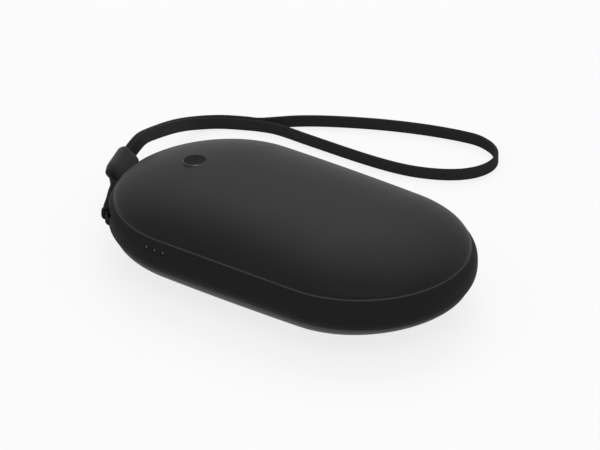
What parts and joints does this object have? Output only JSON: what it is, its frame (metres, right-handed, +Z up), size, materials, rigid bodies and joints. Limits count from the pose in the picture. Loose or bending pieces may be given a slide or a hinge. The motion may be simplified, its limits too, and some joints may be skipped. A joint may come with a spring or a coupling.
{
  "type": "rechargeable hand warmer",
  "caption": "Pebble-shaped rechargeable hand warmer with domed heating shells, a black middle band, a power button, indicator lights and a wrist strap.",
  "frame": {"origin": "on the surface that the body rests on, under the middle of the body", "axes": "+X along the body, away from the button and the strap; +Y away from the side with the lights; +Z up"},
  "size_m": [0.1223, 0.1196, 0.0272],
  "materials": {
    "shell": "dark grey anodised, satin",
    "band": "fine matt texture",
    "trim_ring": "bright, thin turned edge",
    "button_cap": "smooth, half gloss",
    "clear_plastic": "clear, with frosted ends",
    "moulded_black": "moulded",
    "circuit_board": "solder mask over copper",
    "chip_body": "moulded, with tinned leads",
    "led_body": "moulded, with a clear lens",
    "plated_steel": "plated",
    "nickel_strip": "bare nickel strip",
    "cell_foil": "laminated foil",
    "lead_red": "insulated wire",
    "lead_black": "insulated wire",
    "lead_white": "insulated wire",
    "lead_grey": "insulated wire",
    "heater_film": "polyimide film over etched tracks",
    "sensor_bead": "dipped bead",
    "foam": "closed-cell foam",
    "cord": "braided",
    "keeper": "moulded over the cord and the ribbon",
    "ribbon": "flat weave"
  },
  "bodies": {
    "case": {"top_shell": "shell", "bottom_shell": "shell", "band": "band", "button_ring": "trim_ring", "light_pipe": "clear_plastic", "switch_body": "moulded_black", "usb_port_tongue": "moulded_black", "battery_cradle": "moulded_black", "main_board": "circuit_board", "protection_board": "circuit_board", "control_chip": "chip_body", "charge_chip": "chip_body", "heater_driver_top": "chip_body", "heater_driver_bottom": "chip_body", "led_left": "led_body", "led_middle": "led_body", "led_right": "led_body", "usb_port_shell": "plated_steel", "frame_screws": "plated_steel", "battery_tab_positive": "nickel_strip", "battery_tab_negative": "nickel_strip", "battery_cell_upper": "cell_foil", "battery_cell_lower": "cell_foil", "battery_lead_positive": "lead_red", "battery_lead_negative": "lead_black", "heater_lead_top": "lead_white", "heater_lead_bottom": "lead_white", "sensor_lead_top": "lead_grey", "sensor_lead_bottom": "lead_grey", "heater_film_top": "heater_film", "heater_film_bottom": "heater_film", "thermistor_top": "sensor_bead", "thermistor_bottom": "sensor_bead", "foam_pad_top": "foam", "foam_pad_bottom": "foam", "lanyard_cord": "cord", "strap_keeper": "keeper", "wrist_strap": "ribbon"},
    "button": {"power_button": "button_cap"},
    "plunger": {"switch_plunger": "moulded_black"}
  },
  "joints": [
    {"name": "button_press", "type": "slide", "parent": "case", "child": "button", "axis": [0.0698, 0, -0.9976], "range_m": [0, 0.0003], "stiffness_N_per_m": 4500},
    {"name": "switch_travel", "type": "slide", "parent": "case", "child": "plunger", "axis": [0, 0, -1], "range_m": [0, 0.0003], "stiffness_N_per_m": 50}
  ],
  "couplings": [
    {"joint": "switch_travel", "follows": "button_press", "ratio": 1}
  ]
}
